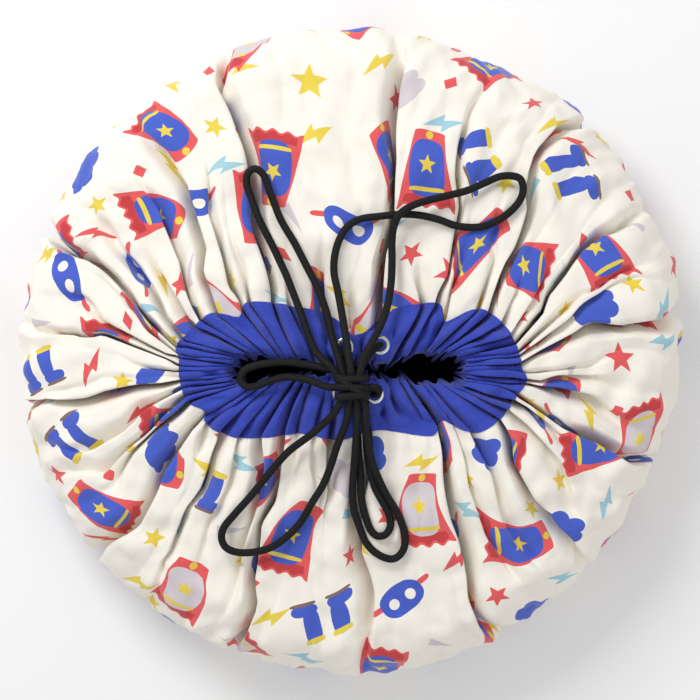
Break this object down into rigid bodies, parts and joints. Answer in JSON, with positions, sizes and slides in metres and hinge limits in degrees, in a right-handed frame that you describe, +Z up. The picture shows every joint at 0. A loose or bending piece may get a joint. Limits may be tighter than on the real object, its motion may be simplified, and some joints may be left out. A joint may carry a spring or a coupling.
{
  "type": "drawstring toy storage bag and play mat",
  "caption": "Round padded-looking cloth bag drawn shut by a cord in a sewn casing, with metal eyelets and a bow of long cord loops; it opens out into a flat play mat.",
  "frame": {"origin": "middle of the flat base, on the floor", "axes": "+Z up through the drawn mouth, +X along the mouth's slit and the bag's longest side, +Y across it, away from the loops that lie in front"},
  "size_m": [0.69, 0.672, 0.1917],
  "materials": {
    "canvas": "matte woven cotton canvas with a printed pattern",
    "lining": "matte dark woven lining",
    "band": "matte royal blue woven cotton, topstitched",
    "cord": "matte black braided cord",
    "eyelet_metal": "polished"
  },
  "bodies": {
    "bag": {"canvas_base": "canvas", "canvas_top_north": "canvas", "canvas_top_west": "canvas", "canvas_top_south": "canvas", "canvas_top_east": "canvas", "lining": "lining", "canvas_side_east": "canvas", "canvas_side_northeast": "canvas", "canvas_side_north": "canvas", "canvas_side_northwest": "canvas", "canvas_side_west": "canvas", "canvas_side_southwest": "canvas", "canvas_side_south": "canvas", "canvas_side_southeast": "canvas"},
    "neck": {"band_north": "band", "band_east_north": "band", "band_east_south": "band", "band_south": "band", "band_west_north": "band", "band_west_south": "band", "eyelet_north_left": "eyelet_metal", "eyelet_north_right": "eyelet_metal", "eyelet_south_left": "eyelet_metal", "eyelet_south_right": "eyelet_metal", "eyelet_washer_north_left": "eyelet_metal", "eyelet_washer_north_right": "eyelet_metal", "eyelet_washer_south_left": "eyelet_metal", "eyelet_washer_south_right": "eyelet_metal", "casing_cord_east": "cord", "casing_cord_west": "cord", "drawcord_knot": "cord", "loop_west": "cord"},
    "loop_northwest": {"loop_northwest": "cord"},
    "loop_northeast": {"loop_northeast": "cord"},
    "loop_southwest": {"loop_southwest": "cord"},
    "loop_south": {"loop_south_outer": "cord", "loop_south_inner": "cord"}
  },
  "joints": [
    {"name": "neck_lift", "type": "slide", "parent": "bag", "child": "neck", "axis": [0, 0, 1], "range_m": [0, 0.08]},
    {"name": "loop_northwest_swing", "type": "hinge", "parent": "neck", "child": "loop_northwest", "pos_m": [-0.0125, -0.0188, 0.178], "axis": [1, 0, 0], "range_deg": [0, 65]},
    {"name": "loop_northeast_swing", "type": "hinge", "parent": "neck", "child": "loop_northeast", "pos_m": [0.0055, -0.0211, 0.1865], "axis": [1, 0, 0], "range_deg": [0, 65]},
    {"name": "loop_southwest_swing", "type": "hinge", "parent": "neck", "child": "loop_southwest", "pos_m": [-0.006, -0.0552, 0.178], "axis": [-1, 0, 0], "range_deg": [0, 65]},
    {"name": "loop_south_swing", "type": "hinge", "parent": "neck", "child": "loop_south", "pos_m": [0.011, -0.0552, 0.178], "axis": [-1, 0, 0], "range_deg": [0, 65]}
  ]
}
